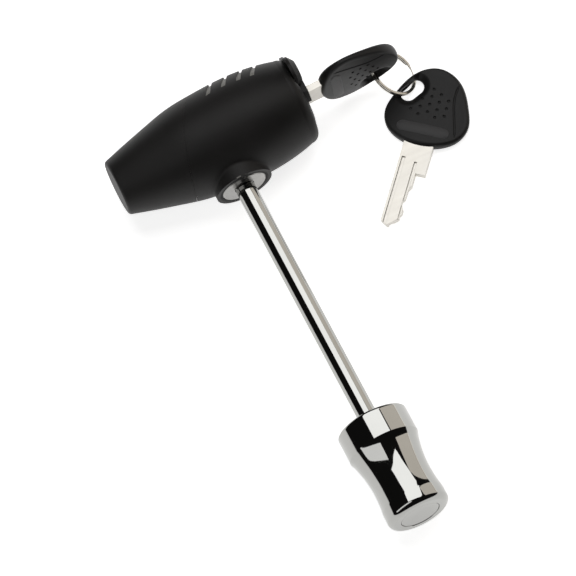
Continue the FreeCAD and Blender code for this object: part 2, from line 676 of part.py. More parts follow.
def blade_pocket(start, half):
    w = BLADE_HALF + BOW_GAP
    return box(start, BOW_END + PAST, -half - BOW_GAP, half + BOW_GAP, -w, w)


def key_bow():
    tang = blade_pocket(-TANG_LENGTH - BOW_GAP, TANG_HALF)
    shoulder = blade_pocket(-TANG_STEP - BOW_GAP, SHOULDER_HALF)
    return cut(bow_blank(), ring_hole() + [tang, shoulder])


def placed(shape, placement):
    moved = shape.copy()
    moved.Placement = placement.multiply(moved.Placement)
    return moved


# Key ring

def hole_point(frame, along, across):
    turn = math.radians(HOLE_TURN)
    u = HOLE_CENTRE[0] + along * math.cos(turn) - across * math.sin(turn)
    v = HOLE_CENTRE[1] + along * math.sin(turn) + across * math.cos(turn)
    return frame.multVec(V(u, v, 0))


def ring_passes():
    """Points on the ring's centre line inside the two bows' holes."""
    return hole_point(key_1_frame(), *RING_IN_HOLE_1), hole_point(key_2_frame(), *RING_IN_HOLE_2)


def ring_frame():
    """Centre and normal of a ring of the given radius that goes through both holes."""
    first, second = ring_passes()
    chord = second - first
    along = V(chord).normalize()
    normal = (RING_NORMAL - along * RING_NORMAL.dot(along)).normalize()
    away = normal.cross(along)
    offset = math.sqrt(RING_RADIUS ** 2 - (chord.Length / 2) ** 2)
    return first + chord * 0.5 + away * offset, normal


def key_ring():
    """Split ring as two touching turns of flat wire, shown by the groove between them."""
    half = RING_THICKNESS / 2
    inner = RING_RADIUS - RING_BAND / 2
    outer = RING_RADIUS + RING_BAND / 2
    c = RING_CORNER
    g = RING_GROOVE_HALF
    profile = [(inner + c, -half), (outer - c, -half), (outer, -half + c), (outer, -g),
               (outer - RING_GROOVE, 0), (outer, g), (outer, half - c), (outer - c, half),
               (inner + c, half), (inner, half - c), (inner, g), (inner + RING_GROOVE, 0),
               (inner, -g), (inner, -half + c)]
    points = [V(r, 0, w) for r, w in profile]
    ring = Part.Face(Part.makePolygon(points + points[:1])).revolve(V(0, 0, 0), Z_AXIS, 360)
    centre, normal = ring_frame()
    return placed(ring, FreeCAD.Placement(centre, FreeCAD.Rotation(Z_AXIS, normal)))


def build():
    blade = key_blade()
    bow = key_bow()
    return {
        "nose_cover": nose_cover(),
        "main_shell": main_shell(),
        "lock_core": lock_core(),
        "face_plate": face_plate(),
        "face_seal": face_seal(),
        "pin_o_ring": pin_o_ring(),
        "cylinder_housing": cylinder_housing(),
        "cylinder_roll_pin": cylinder_roll_pin(),
        "plug": plug(),
        "wafers": wafers(),
        "wafer_springs": wafer_springs(),
        "plug_clip": plug_clip(),
        "drive_cam": drive_cam(),
        "latch_plate": latch_plate(),
        "dust_cover": dust_cover(),
        "cover_pivot": cover_pivot(),
        "cover_washer": cover_washer(),
        "pin_shank": pin_shank(),
        "pin_head": pin_head(),
        "head_end_plug": head_end_plug(),
        "key_1_blade": placed(blade, key_1_frame()),
        "key_1_bow": placed(bow, key_1_frame()),
        "key_2_blade": placed(blade, key_2_frame()),
        "key_2_bow": placed(bow, key_2_frame()),
        "key_ring": key_ring(),
    }


def main():
    os.makedirs("parts", exist_ok=True)
    for name, shape in build().items():
        shape.exportStep("parts/" + name + ".step")


main()
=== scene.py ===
import json
import math

import bmesh
import bpy
import numpy as np
from mathutils import Matrix, Vector


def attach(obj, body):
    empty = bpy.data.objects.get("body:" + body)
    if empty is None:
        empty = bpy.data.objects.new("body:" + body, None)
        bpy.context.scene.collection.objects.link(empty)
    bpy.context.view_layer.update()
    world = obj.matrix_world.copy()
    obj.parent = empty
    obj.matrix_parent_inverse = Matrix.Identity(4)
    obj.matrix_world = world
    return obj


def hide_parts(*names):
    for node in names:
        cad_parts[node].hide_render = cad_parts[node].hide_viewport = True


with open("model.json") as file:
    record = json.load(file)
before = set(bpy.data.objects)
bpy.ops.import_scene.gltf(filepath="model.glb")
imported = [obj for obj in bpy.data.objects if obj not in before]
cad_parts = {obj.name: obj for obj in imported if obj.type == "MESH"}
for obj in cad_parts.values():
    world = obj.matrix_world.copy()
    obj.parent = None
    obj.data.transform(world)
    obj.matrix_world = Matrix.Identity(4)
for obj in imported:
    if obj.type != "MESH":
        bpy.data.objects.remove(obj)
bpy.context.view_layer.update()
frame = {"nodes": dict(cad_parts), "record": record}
scene = bpy.context.scene
nodes = frame["nodes"]
MM = 0.001

# The lock's own dimensions, in millimetres
LOCK_Y = 18.0
SPAN = 87.4
PIN_RADIUS = 3.175
SLOT_STARTS = [4.28, 9.48, 14.68, 19.38]
SLOT_LEVEL = 15.26
SLOT_WIDTH = 1.45
SLOT_LEAN = 0.5
# Painted highlight on the slot floors: the next four numbers place and colour the pale grey that stands
# for light falling on them
SLOT_FLOOR_GROW = 1.76
SLOT_FLOOR_SHIFT = 2.58
SLOT_FLOOR_BAND = 0.14
SLOT_FLOOR_HIGHLIGHT_COLOUR = (0.19, 0.185, 0.172)
# The cover's radius near the slots: a constant, per millimetre and per square millimetre of x
COVER_RADIUS = (16.10, 0.091, -0.0069)
PIN_BORE = 3.195
RELIEF_RADIUS = 2.6
NECK_RADIUS = 2.2
PIN_TIP = 25.5
PIN_TIP_CHAMFER = 0.8
PIN_NECK = (19.5, 16.5)
LOCK_RELIEF = (0.5, -0.3)
HEAD_RELIEF = (0.3 - SPAN, -0.5 - SPAN)
PIN_SOCKET = 112.0
HEAD_END = 121.2
PIN_EDGE = 0.1                 # tiny chamfers that catch the light
HEAD_FACE_RIM = 1.0
HEAD_END_RIM = 2.0
HEAD_PLUG_RADIUS = 6.5
HEAD_PLUG_DEPTH = 2.0
HEAD_PLUG_SUNK = 0.1
HEAD_PLUG_GAP = 0.05
HEAD_MOUTH_EDGE = 0.12
HEAD_BORE_EDGE = 0.15
HEAD_WAIST = [(96.4, 11.63), (98.2, 10.97), (99.6, 10.64), (102.2, 10.12), (104.8, 9.79),
              (108.0, 9.6), (111.3, 9.72), (114.0, 9.97), (116.2, 10.3)]
REST_SLOPE = math.radians(2.37)
KEY_2_TURN = math.radians(228.2)
KEY_1_BASE = (35.3, LOCK_Y, 0.0)
KEY_2_BASE = (54.9, -8.0, -12.75)
BELLY = 16.36                  # how far the lock reaches below its own axis

BOW_OUTLINE = [(-25.7, 0.0), (-22.6, 7.2), (-14.6, 11.9), (-8.7, 13.35), (-3.6, 11.4), (-0.3, 6.4)]
BOW_END = 0.75
BOW_HALF = 2.2
BOW_CROWN = 65.0
HOLE_CENTRE = (-17.0, -6.9)
HOLE_LENGTH, HOLE_WIDTH = 8.0, 5.0
HOLE_TURN = math.radians(145.0)
HOLE_FLARE = 2.0
HOLE_WEB = 0.3

RING_RADIUS = 7.6
RING_BAND = 1.0
RING_WIRE = 0.56
RING_CORNER = 0.16
RING_OFFSET = 0.305            # each turn's distance from the ring's middle plane
RING_STEP = 2.0
RING_RISE = (326.0, 356.0)     # degrees over which the wire steps from one turn to the other
RING_STOP = 683.0
RING_CENTRE = (58.259, 16.659, -12.037)
RING_NORMAL = (0.637009, -0.039083, 0.769865)


def key_matrix(base, u, v):
    """Placement of a key from its blade direction u and its cut edge's direction v, in millimetres."""
    m = Matrix((u, v, u.cross(v))).transposed().to_4x4()
    m.translation = base
    return m


def key_2_matrix():
    """Key 2 lies in the plane that the lock and the head rest on."""
    slope = Matrix.Rotation(-REST_SLOPE, 3, "X")
    u = slope @ Vector((math.cos(KEY_2_TURN), math.sin(KEY_2_TURN), 0))
    v = slope @ Vector((-math.sin(KEY_2_TURN), math.cos(KEY_2_TURN), 0))
    return key_matrix(KEY_2_BASE, u, v)


KEY_1 = key_matrix(KEY_1_BASE, Vector((-1, 0, 0)), Vector((0, 0, 1)))
KEY_2 = key_2_matrix()


# Meshes

def new_object(name, verts, faces, matrix=None):
    """Object whose vertices are given in millimetres, placed by a matrix that is in millimetres too."""
    mesh = bpy.data.meshes.new(name)
    points = [Vector(p) for p in verts]
    if matrix is not None:
        points = [matrix @ p for p in points]
    mesh.from_pydata([p * MM for p in points], [], faces)
    mesh.validate()
    bm = bmesh.new()
    bm.from_mesh(mesh)
    bmesh.ops.recalc_face_normals(bm, faces=bm.faces)
    bm.to_mesh(mesh)
    bm.free()
    obj = bpy.data.objects.new(name, mesh)
    scene.collection.objects.link(obj)
    return obj


def smooth(obj, angle):
    """Shades a piece smoothly, except at edges sharper than an angle in degrees."""
    for polygon in obj.data.polygons:
        polygon.use_smooth = True
    obj.data.set_sharp_from_angle(angle=math.radians(angle))


def lathe_y(name, profile, segments=192):
    """Closed solid turned about the pin's axis from (y, radius) pairs that start and end on it."""
    verts = []
    rings = []
    for y, radius in profile:
        if radius < 1e-6:
            rings.append([len(verts)])
            verts.append((0, y, 0))
            continue
        rings.append(list(range(len(verts), len(verts) + segments)))
        for i in range(segments):
            a = 2 * math.pi * i / segments
            verts.append((radius * math.cos(a), y, radius * math.sin(a)))
    faces = []
    for a, b in zip(rings, rings[1:]):
        for i in range(segments):
            j = (i + 1) % segments
            if len(a) == 1:
                faces.append((a[0], b[i], b[j]))
            elif len(b) == 1:
                faces.append((a[i], a[j], b[0]))
            else:
                faces.append((a[i], a[j], b[j], b[i]))
    return new_object(name, verts, faces)


def spline_point(p, q, bend_p, bend_q, length, f):
    """Point at the fraction f of a cubic span from p to q, whose second derivatives are given."""
    g = 1 - f
    return g * p + f * q + length ** 2 / 6 * ((g ** 3 - g) * bend_p + (f ** 3 - f) * bend_q)


def natural_spline(points, count):
    """Points on a smooth curve through the given ones."""
    p = np.array(points, float)
    t = np.concatenate([[0], np.cumsum(np.linalg.norm(np.diff(p, axis=0), axis=1))])
    n = len(p)
    h = np.diff(t)
    a = np.zeros((n, n))
    b = np.zeros((n, p.shape[1]))
    a[0, 0] = a[-1, -1] = 1
    for i in range(1, n - 1):
        a[i, i - 1:i + 2] = h[i - 1], 2 * (h[i - 1] + h[i]), h[i]
        b[i] = 6 * ((p[i + 1] - p[i]) / h[i] - (p[i] - p[i - 1]) / h[i - 1])
    m = np.linalg.solve(a, b)
    out = []
    for x in np.linspace(0, t[-1], count):
        i = min(np.searchsorted(t, x, side="right") - 1, n - 2)
        f = (x - t[i]) / h[i]
        out.append(spline_point(p[i], p[i + 1], m[i], m[i + 1], h[i], f))
    return out


def arc(centre, radius, start, end, count):
    """Points on an arc between two angles in degrees."""
    x, y = centre
    angles = [math.radians(a) for a in np.linspace(start, end, count)]
    return [(x + radius * math.cos(a), y + radius * math.sin(a)) for a in angles]


def edge_round(points, amount=0.08):
    """Replaces each corner of a turned profile by a tiny chamfer, so that it catches the light."""
    out = [points[0]]
    for before, here, after in zip(points, points[1:], points[2:]):
        p, q, r = (np.array(x, float) for x in (before, here, after))
        d0, d1 = p - q, r - q
        l0, l1 = np.linalg.norm(d0), np.linalg.norm(d1)
        straight = abs(d0 @ d1) / (l0 * l1) > 0.94
        if straight or min(l0, l1) < 3 * amount:
            out.append(here)
            continue
        out.append(tuple(q + d0 / l0 * amount))
        out.append(tuple(q + d1 / l1 * amount))
    return out + [points[-1]]


# Materials

NOISE_LOW, NOISE_HIGH = 0.3, 0.7


def mix_colour(nodes_, links, low, high, factor):
    mix = nodes_.new("ShaderNodeMix")
    mix.data_type = "RGBA"
    mix.inputs["A"].default_value = (*low, 1)
    mix.inputs["B"].default_value = (*high, 1)
    links.new(factor, mix.inputs["Factor"])
    return mix.outputs["Result"]


def map_noise(nodes_, links, value, low, high):
    """Spreads the usual range of a noise over the range from low to high."""
    node = nodes_.new("ShaderNodeMapRange")
    node.inputs["From Min"].default_value = NOISE_LOW
    node.inputs["From Max"].default_value = NOISE_HIGH
    node.inputs["To Min"].default_value = low
    node.inputs["To Max"].default_value = high
    links.new(value, node.inputs["Value"])
    return node.outputs["Result"]


def noise(nodes_, links, vector, scale, detail=3.0, roughness=0.55):
    node = nodes_.new("ShaderNodeTexNoise")
    node.inputs["Scale"].default_value = scale
    node.inputs["Detail"].default_value = detail
    node.inputs["Roughness"].default_value = roughness
    links.new(vector, node.inputs["Vector"])
    return node.outputs["Fac"]


def math_node(nodes_, links, operation, *values):
    """Maths node whose inputs are numbers or other nodes' outputs."""
    node = nodes_.new("ShaderNodeMath")
    node.operation = operation
    for socket, value in zip(node.inputs, values):
        if isinstance(value, (int, float)):
            socket.default_value = value
        else:
            links.new(value, socket)
    return node.outputs[0]


def finish_material(name, low, high, rough, patch, grain, depth, metallic=0.0, stretch=None, turn=0.0,
                    specular=0.5, rings=0.0):
    """Procedural finish: patchy colour and roughness, a fine grain, and turned rings if asked for."""
    material = bpy.data.materials.new(name)
    material.use_nodes = True
    tree = material.node_tree
    nodes_, links = tree.nodes, tree.links
    shader = nodes_["Principled BSDF"]
    shader.inputs["Metallic"].default_value = metallic
    shader.inputs["Specular IOR Level"].default_value = specular
    place = nodes_.new("ShaderNodeTexCoord").outputs["Object"]
    if stretch:
        mapping = nodes_.new("ShaderNodeMapping")
        mapping.inputs["Rotation"].default_value = (0, 0, turn)
        mapping.inputs["Scale"].default_value = stretch
        links.new(place, mapping.inputs["Vector"])
        grain_place = mapping.outputs["Vector"]
    else:
        grain_place = place
    patches = noise(nodes_, links, place, patch)
    fine = noise(nodes_, links, grain_place, grain, 4.0, 0.6)
    links.new(mix_colour(nodes_, links, low, high, map_noise(nodes_, links, patches, 0, 1)),
              shader.inputs["Base Color"])
    half = math_node(nodes_, links, "MULTIPLY", patches, 0.5)
    both = math_node(nodes_, links, "MULTIPLY_ADD", fine, 0.5, half)
    links.new(map_noise(nodes_, links, both, *rough), shader.inputs["Roughness"])
    height = fine
    if rings:
        wave = nodes_.new("ShaderNodeTexWave")
        wave.wave_type = "RINGS"
        wave.rings_direction = "Y"
        wave.inputs["Scale"].default_value = rings
        wave.inputs["Distortion"].default_value = 0.4
        links.new(place, wave.inputs["Vector"])
        height = wave.outputs["Fac"]
    bump = nodes_.new("ShaderNodeBump")
    bump.inputs["Strength"].default_value = 1.0
    bump.inputs["Distance"].default_value = depth * MM
    links.new(height, bump.inputs["Height"])
    links.new(bump.outputs["Normal"], shader.inputs["Normal"])
    return material


def paint_slot_floor_highlight(material, colour):
    """Painted highlight: pale floors in the grip slots that stand for the light falling on them, found
    by their distance from the floors' own axis.
    """
    tree = material.node_tree
    nodes_, links = tree.nodes, tree.links
    shader = nodes_["Principled BSDF"]
    place = nodes_.new("ShaderNodeTexCoord").outputs["Object"]
    split = nodes_.new("ShaderNodeSeparateXYZ")
    links.new(place, split.inputs[0])
    x, y, z = split.outputs

    def sum_of(a, factor, b):
        return math_node(nodes_, links, "MULTIPLY_ADD", a, factor, b)

    constant, linear, square = COVER_RADIUS
    up = math_node(nodes_, links, "SUBTRACT", y, (LOCK_Y - SLOT_FLOOR_SHIFT) * MM)
    up_squared = math_node(nodes_, links, "MULTIPLY", up, up)
    radius = math_node(nodes_, links, "SQRT", sum_of(z, z, up_squared))
    cover = sum_of(x, sum_of(x, square / MM, linear), (constant + SLOT_FLOOR_GROW) * MM)
    on_floor = math_node(nodes_, links, "COMPARE", radius, cover, SLOT_FLOOR_BAND * MM)
    above = math_node(nodes_, links, "SUBTRACT", y, (LOCK_Y + SLOT_LEVEL) * MM)
    along = sum_of(above, -SLOT_LEAN, x)
    in_slot = 0.0
    for start in SLOT_STARTS:
        middle = (start + SLOT_WIDTH / 2) * MM
        here = math_node(nodes_, links, "COMPARE", along, middle, SLOT_WIDTH / 2 * MM)
        in_slot = math_node(nodes_, links, "ADD", here, in_slot)
    # The painted highlight's colour is mixed into the black where both tests hold
    highlight_mask = math_node(nodes_, links, "MULTIPLY", on_floor, in_slot)
    base = shader.inputs["Base Color"].links[0].from_socket
    mix = nodes_.new("ShaderNodeMix")
    mix.data_type = "RGBA"
    links.new(base, mix.inputs["A"])
    mix.inputs["B"].default_value = (*colour, 1)
    links.new(highlight_mask, mix.inputs["Factor"])
    links.new(mix.outputs["Result"], shader.inputs["Base Color"])


BRUSHED = (0.05, 1.4, 1.4)     # the grain of the key stock is drawn out along the blade
KEY_STEEL = dict(low=(0.49, 0.47, 0.43), high=(0.58, 0.56, 0.52), rough=(0.30, 0.42),
                 patch=120, grain=900, depth=0.010, metallic=1.0, stretch=BRUSHED)
MATERIALS = {
    "cover_black": finish_material(
        "moulded_black", (0.0072, 0.0066, 0.0062), (0.0105, 0.0096, 0.0092), (0.46, 0.60),
        patch=60, grain=2600, depth=0.012, specular=0.27),
    "bow_black": finish_material(
        "grip_black", (0.0075, 0.0072, 0.0072), (0.0110, 0.0106, 0.0106), (0.40, 0.52),
        patch=110, grain=3000, depth=0.015, specular=0.26),
    "label_grey": finish_material(
        "label_grey", (0.040, 0.039, 0.040), (0.048, 0.047, 0.048), (0.45, 0.55),
        patch=160, grain=3200, depth=0.012, specular=0.3),
    "rubber_black": finish_material(
        "seal_rubber", (0.006, 0.006, 0.006), (0.010, 0.010, 0.010), (0.6, 0.75),
        patch=200, grain=4000, depth=0.02, specular=0.25),
    "zinc": finish_material(
        "cast_zinc", (0.42, 0.43, 0.44), (0.50, 0.50, 0.51), (0.42, 0.6),
        patch=140, grain=2400, depth=0.03, metallic=1.0),
    "bright_steel": finish_material(
        "turned_steel", (0.28, 0.275, 0.265), (0.33, 0.325, 0.315), (0.24, 0.34),
        patch=260, grain=3000, depth=0.004, metallic=1.0, rings=260.0),
    "spring_steel": finish_material(
        "spring_steel", (0.32, 0.33, 0.35), (0.40, 0.41, 0.43), (0.25, 0.38),
        patch=300, grain=3000, depth=0.006, metallic=1.0),
    "pivot_black": finish_material(
        "blackened_rivet", (0.010, 0.010, 0.010), (0.020, 0.019, 0.018), (0.35, 0.5),
        patch=300, grain=3000, depth=0.01, specular=0.4),
    "brass": finish_material(
        "machined_brass", (0.62, 0.45, 0.19), (0.74, 0.56, 0.27), (0.24, 0.38),
        patch=220, grain=2600, depth=0.008, metallic=1.0),
    "chrome": finish_material(
        "polished_chrome", (0.36, 0.36, 0.347), (0.39, 0.39, 0.376), (0.03, 0.06),
        patch=45, grain=160, depth=0.003, metallic=1.0),
    "nickel_silver": finish_material("key_steel_x", **KEY_STEEL),
    "ring_nickel": finish_material(
        "ring_nickel", (0.42, 0.40, 0.36), (0.52, 0.50, 0.46), (0.12, 0.22),
        patch=260, grain=2400, depth=0.004, metallic=1.0),
}
KEY_2_STEEL = finish_material("key_steel_turned", **KEY_STEEL, turn=-KEY_2_TURN)

# Black with a painted highlight on the slot floors, for the main shell
BLACK_WITH_SLOT_HIGHLIGHT = MATERIALS["cover_black"].copy()
BLACK_WITH_SLOT_HIGHLIGHT.name = "moulded_black_slot_highlight"
paint_slot_floor_highlight(BLACK_WITH_SLOT_HIGHLIGHT, SLOT_FLOOR_HIGHLIGHT_COLOUR)

SLOT_OF = {part["node"]: part["material_slot"] for part in frame["record"]["subparts"]}


def give_material(obj, material):
    """Makes a material the piece's only one."""
    obj.data.materials.clear()
    obj.data.materials.append(material)


def add_piece(obj, body, slot, replaced=(), material=None):
    """Gives a piece its material, the slot's one unless another is given, ties it to the body it rides
    on and hides the nodes it replaces.
    """
    give_material(obj, material or MATERIALS[slot])
    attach(obj, body)
    if replaced:
        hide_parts(*replaced)


for node_name, node in nodes.items():
    if node.data.materials:
        for index in range(len(node.data.materials)):
            node.data.materials[index] = MATERIALS[SLOT_OF[node_name]]
    else:
        node.data.materials.append(MATERIALS[SLOT_OF[node_name]])
nodes["key_2_blade"].data.materials[0] = KEY_2_STEEL
# The main shell gets the black with the painted highlight on its slot floors
nodes["main_shell"].data.materials[0] = BLACK_WITH_SLOT_HIGHLIGHT


def soften_edges(name, width, segments=2, angle=35):
    """Welds a carried-over node's surface and rounds its sharp edges."""
    node = nodes[name]
    weld = node.modifiers.new("weld", "WELD")
    weld.merge_threshold = 1e-6
    flat = node.modifiers.new("flat", "DECIMATE")
    flat.decimate_type = "DISSOLVE"
    flat.angle_limit = math.radians(0.5)
    bevel = node.modifiers.new("bevel", "BEVEL")
    bevel.width = width * MM
    bevel.segments = segments
    bevel.limit_method = "ANGLE"
    bevel.angle_limit = math.radians(angle)
    bevel.harden_normals = True


# Pin and head, turned

def pin_profile():
    """Pin from tip to end, with the latch's neck and a relief groove at each bright face."""
    def groove(y0, y1, radius):
        return [(y0, PIN_RADIUS), (y0, radius), (y1, radius), (y1, PIN_RADIUS)]

    chamfer = PIN_TIP_CHAMFER
    points = [(PIN_TIP, 0), (PIN_TIP, PIN_RADIUS - chamfer), (PIN_TIP - chamfer, PIN_RADIUS)]
    points += groove(*PIN_NECK, NECK_RADIUS) + groove(*LOCK_RELIEF, RELIEF_RADIUS)
    points += groove(*HEAD_RELIEF, RELIEF_RADIUS)
    return edge_round(points + [(-PIN_SOCKET, PIN_RADIUS), (-PIN_SOCKET, 0)], PIN_EDGE)


def head_profile():
    """Head from its bore over the shoulder, collar and waist to the recess of its end disc."""
    collar = HEAD_WAIST[0][1]
    end = HEAD_WAIST[-1][1]
    floor_y = HEAD_PLUG_DEPTH - HEAD_END
    bore = [(-PIN_SOCKET, 0), (-PIN_SOCKET, PIN_BORE), (-SPAN - HEAD_BORE_EDGE, PIN_BORE),
            (-SPAN, PIN_BORE + HEAD_BORE_EDGE)]
    face = arc((-SPAN - HEAD_FACE_RIM, collar - HEAD_FACE_RIM), HEAD_FACE_RIM, 0, 90, 10)
    side = [(-SPAN - HEAD_FACE_RIM - 0.2, collar), (0.2 - HEAD_WAIST[0][0], collar)]
    waist = [(-s, r) for s, r in natural_spline(HEAD_WAIST, 48)]
    close = arc((HEAD_END_RIM - HEAD_END, end - HEAD_END_RIM), HEAD_END_RIM, 90, 180, 14)
    mouth = [(-HEAD_END, HEAD_PLUG_RADIUS + HEAD_MOUTH_EDGE),
             (HEAD_MOUTH_EDGE - HEAD_END, HEAD_PLUG_RADIUS),
             (floor_y, HEAD_PLUG_RADIUS), (floor_y, 0)]
    return bore + face + side + waist + close + mouth


def plug_profile():
    """Disc pressed into the head's end, with a rounded rim."""
    radius = HEAD_PLUG_RADIUS - HEAD_PLUG_GAP
    outer = HEAD_PLUG_SUNK - HEAD_END
    inner = HEAD_PLUG_DEPTH - HEAD_PLUG_GAP - HEAD_END
    return [(outer, 0), (outer, radius - 0.25), (outer + 0.08, radius - 0.09), (outer + 0.25, radius),
            (inner, radius), (inner, 0)]


pin = lathe_y("pin_turned", pin_profile(), 160)
smooth(pin, 25)
add_piece(pin, "pin", "chrome", ["pin_shank"])
head = lathe_y("head_turned", head_profile(), 256)
smooth(head, 20)
add_piece(head, "pin", "chrome", ["pin_head"])
end_plug = lathe_y("head_end_disc", plug_profile(), 128)
smooth(end_plug, 25)
add_piece(end_plug, "pin", "chrome", ["head_end_plug"])


# Key bows

def periodic_spline(points, per_span=24):
    """Closed smooth curve through the points."""
    p = np.array(points, float)
    n = len(p)
    h = np.linalg.norm(np.roll(p, -1, 0) - p, axis=1)
    a = np.zeros((n, n))
    b = np.zeros((n, 2))
    for i in range(n):
        before, after = (i - 1) % n, (i + 1) % n
        a[i, before] += h[before]
        a[i, i] += 2 * (h[before] + h[i])
        a[i, after] += h[i]
        b[i] = 6 * ((p[after] - p[i]) / h[i] - (p[i] - p[before]) / h[before])
    m = np.linalg.solve(a, b)
    out = []
    for i in range(n):
        after = (i + 1) % n
        for k in range(per_span):
            out.append(spline_point(p[i], p[after], m[i], m[after], h[i], k / per_span))
    return np.array(out)


def bow_outline():
    """Grip's closed outline: one side, the end towards the blade and the other side mirrored."""
    other = [(u, -v) for u, v in reversed(BOW_OUTLINE[1:])]
    return periodic_spline(BOW_OUTLINE + [(BOW_END, 0.0)] + other)


def reach_to(polygon, centre, direction):
    """Distance from a point inside a closed polygon to its edge, in a direction."""
    best = None
    a = polygon - centre
    b = np.roll(polygon, -1, 0) - centre
    for p, q in zip(a, b):
        e = q - p
        det = direction[0] * -e[1] + direction[1] * e[0]
        if abs(det) < 1e-12:
            continue
        t = (p[0] * -e[1] + p[1] * e[0]) / det
        s = (direction[0] * p[1] - direction[1] * p[0]) / det
        if t > 0 and -1e-9 <= s <= 1 + 1e-9 and (best is None or t < best):
            best = t
    return best


def stadium_reach(length, width, direction):
    """Distance from a stadium's centre to its edge; the stadium lies along the hole's direction."""
    c, s = math.cos(HOLE_TURN), math.sin(HOLE_TURN)
    x = abs(direction[0] * c + direction[1] * s)
    y = abs(-direction[0] * s + direction[1] * c)
    r = width / 2
    half = length / 2 - r
    if y > 1e-9 and r / y * x <= half:
        return r / y
    k = x * half
    return k + math.sqrt(max(k * k - half * half + r * r, 0))


def crown_height(v):
    """Height of the grip's crowned face at the distance v from the grip's middle line."""
    return BOW_HALF - BOW_CROWN + math.sqrt(BOW_CROWN ** 2 - v ** 2)


RIM = 1.3                      # radius of the grip's rounded rim
RIM_STEPS = 8
EDGE_LAND = 0.25               # half of the narrow flat round the rim
BOW_ROWS = 288
CROWN_STEPS = 22
FLARE_STEPS = [0.0, 0.1, 0.25, 0.45, 0.7, 1.0]
FLARE_EASE = 0.72
FLARE_LEAST = 0.4
FLARE_TO_RIM = 1.02            # the flare stops this many rim radii inside the outline


def bow_mesh(name, matrix):
    """Grip with crowned faces, a rounded rim and a flared hole, in rows that fan out from the hole."""
    outline = bow_outline()
    centre = np.array(HOLE_CENTRE)
    across = np.linspace(0, 1, CROWN_STEPS)
    rows = []
    for i in range(BOW_ROWS):
        a = 2 * math.pi * i / BOW_ROWS
        d = np.array([math.cos(a), math.sin(a)])
        hole = stadium_reach(HOLE_LENGTH, HOLE_WIDTH, d)
        mouth = stadium_reach(HOLE_LENGTH + 2 * HOLE_FLARE, HOLE_WIDTH + 2 * HOLE_FLARE, d)
        edge = reach_to(outline, centre, d)
        mouth = max(min(mouth, edge - RIM * FLARE_TO_RIM), hole + FLARE_LEAST)
        start = edge - RIM
        top = crown_height((centre + d * mouth)[1])
        row = []
        for t in FLARE_STEPS:
            row.append((hole + (mouth - hole) * t, HOLE_WEB + (top - HOLE_WEB) * t ** FLARE_EASE))
        for t in across[1:]:
            reach = mouth + (start - mouth) * t
            row.append((reach, crown_height((centre + d * reach)[1])))
        top = crown_height((centre + d * start)[1])
        for k in range(RIM_STEPS):
            angle = (k + 1) / RIM_STEPS * math.pi / 2
            reach = start + RIM * math.sin(angle)
            row.append((reach, EDGE_LAND + (top - EDGE_LAND) * math.cos(angle)))
        rows.append([(*(centre + d * reach), w) for reach, w in row])
    length = len(rows[0])
    verts = []
    for row in rows:
        verts += [(u, v, w) for u, v, w in row]
        verts += [(u, v, -w) for u, v, w in row]
    faces = []
    per = 2 * length
    for i in range(BOW_ROWS):
        a, b = i * per, ((i + 1) % BOW_ROWS) * per
        for k in range(length - 1):
            faces.append((a + k, a + k + 1, b + k + 1, b + k))
            faces.append((a + length + k, b + length + k, b + length + k + 1, a + length + k + 1))
        faces.append((a, b, b + length, a + length))
        last = length - 1
        faces.append((a + last, a + length + last, b + length + last, b + last))
    return new_object(name, verts, faces, matrix)


DIMPLES = [(-18.2, 0), (-15.6, 0), (-13.0, 0), (-10.4, 0),
           (-16.9, 2.7), (-14.3, 2.7), (-11.7, 2.7), (-9.1, 2.7),
           (-15.4, 5.4), (-12.8, 5.4), (-10.2, 5.4),
           (-14.3, -2.7), (-11.7, -2.7), (-9.1, -2.7),
           (-10.4, -5.4)]
DIMPLE_RADIUS = 0.5
DIMPLE_SIDES = 20
DIMPLE_LEVELS = [(0.6, 1.0), (-0.12, 1.0), (-0.26, 0.86), (-0.36, 0.5), (-0.4, 0.0)]
CREASE = [(-21.6, 7.2), (-16.8, 6.95), (-12.0, 8.0), (-8.0, 9.2), (-3.9, 10.3)]
CREASE_RADIUS = 0.4
CREASE_SIDES = 14
CREASE_RAISE = 0.14            # the cutting rod's line above the face
LABEL_RADIUS = 1.75
LABEL_HALF = 8.3
LABEL_U = -4.5
LABEL_LIP = 0.14
LABEL_RAISE = 0.1
LABEL_EDGE_RAISE = 0.03
LABEL_DEPTH = 0.3
LABEL_STEPS = 56


def dimple_cutter(sign):
    """Small round-bottomed drills standing on one face."""
    verts, faces = [], []
    sides = DIMPLE_SIDES
    for u, v in DIMPLES:
        top = crown_height(v)
        rings = []
        for dw, k in DIMPLE_LEVELS:
            if k == 0:
                rings.append([len(verts)])
                verts.append((u, v, sign * (top + dw)))
                continue
            rings.append(list(range(len(verts), len(verts) + sides)))
            for i in range(sides):
                a = 2 * math.pi * i / sides
                verts.append((u + DIMPLE_RADIUS * k * math.cos(a), v + DIMPLE_RADIUS * k * math.sin(a),
                              sign * (top + dw)))
        faces.append(tuple(rings[0]))
        for a, b in zip(rings, rings[1:]):
            for i in range(sides):
                j = (i + 1) % sides
                faces.append((a[i], a[j], b[j], b[i]) if len(b) > 1 else (a[i], a[j], b[0]))
    return verts, faces


